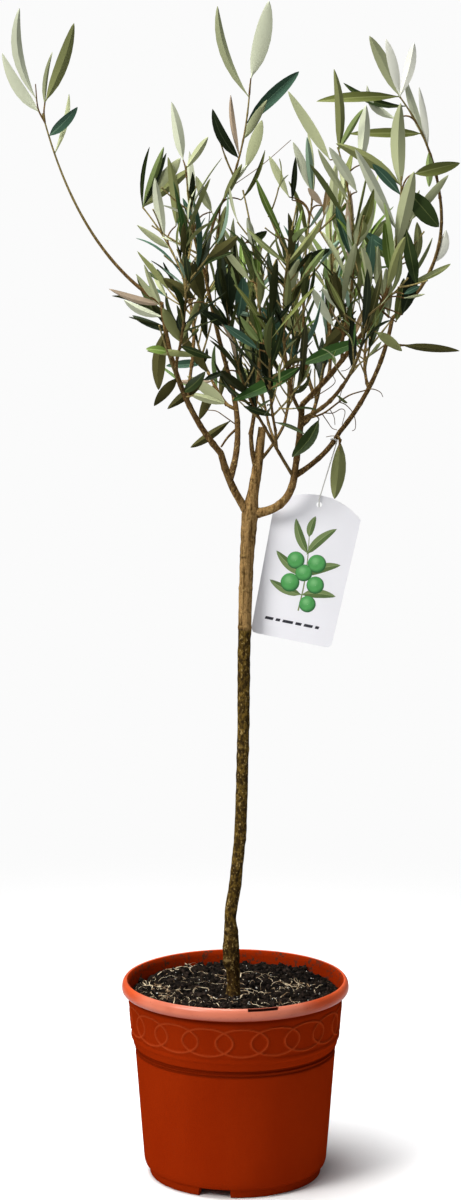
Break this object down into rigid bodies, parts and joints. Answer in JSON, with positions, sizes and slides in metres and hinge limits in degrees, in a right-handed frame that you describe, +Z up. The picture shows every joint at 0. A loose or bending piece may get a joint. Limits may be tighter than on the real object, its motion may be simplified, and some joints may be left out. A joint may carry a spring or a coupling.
{
  "type": "potted young olive tree",
  "caption": "Young olive tree with a forked stem and open, airy crown of narrow leaves, in a round plastic pot with a hanging label card.",
  "frame": {"origin": "middle of the pot's underside, on the ground", "axes": "+Z up, -Y towards the front of the picture, +X to its right"},
  "size_m": [0.426, 0.3227, 1.0746],
  "materials": {
    "pot": "terracotta-coloured satin plastic",
    "soil": "moist dark potting soil with root fibres",
    "bark": "smooth young olive bark, tan to olive brown, mottled low down",
    "leaf": "leathery leaves, grey-green above and silvery below",
    "card": "coated card",
    "thread": "pale thread"
  },
  "bodies": {
    "root": {"pot": "pot", "soil": "soil", "trunk": "bark", "bough_left": "bark", "bough_left_high": "bark", "bough_left_whip": "bark", "bough_left_low": "bark", "bough_left_front": "bark", "bough_inner": "bark", "bough_inner_high": "bark", "bough_inner_top": "bark", "bough_inner_back": "bark", "bough_right": "bark", "bough_right_up": "bark", "bough_right_arm": "bark", "bough_right_front": "bark", "bough_right_back": "bark", "bough_right_inner": "bark", "bough_right_tall": "bark", "bough_right_mid": "bark", "bough_right_high": "bark", "bough_far": "bark", "bough_far_mid": "bark", "bough_far_arc": "bark", "bough_far_spur": "bark", "bough_far_back": "bark", "bough_far_knot": "bark", "bough_cross": "bark", "bough_cross_front": "bark", "bough_leader_left": "bark", "bough_leader_right": "bark", "bough_leader_back": "bark", "foliage_left_spray": "leaf", "foliage_left_whip": "leaf", "foliage_left_low": "leaf", "foliage_left_front": "leaf", "foliage_inner_high": "leaf", "foliage_inner_top": "leaf", "foliage_inner_back": "leaf", "foliage_cross": "leaf", "foliage_cross_front": "leaf", "foliage_leader_left": "leaf", "foliage_leader_right": "leaf", "foliage_leader_back": "leaf", "foliage_right_inner": "leaf", "foliage_right_high": "leaf", "foliage_right_mid": "leaf", "foliage_right_tall": "leaf", "foliage_right_back": "leaf", "foliage_right_arm": "leaf", "foliage_right_front": "leaf", "foliage_far_arc": "leaf", "foliage_far_spur": "leaf", "foliage_far_back": "leaf", "foliage_far_knot": "leaf", "label_card": "card", "label_thread": "thread"}
  },
  "joints": []
}
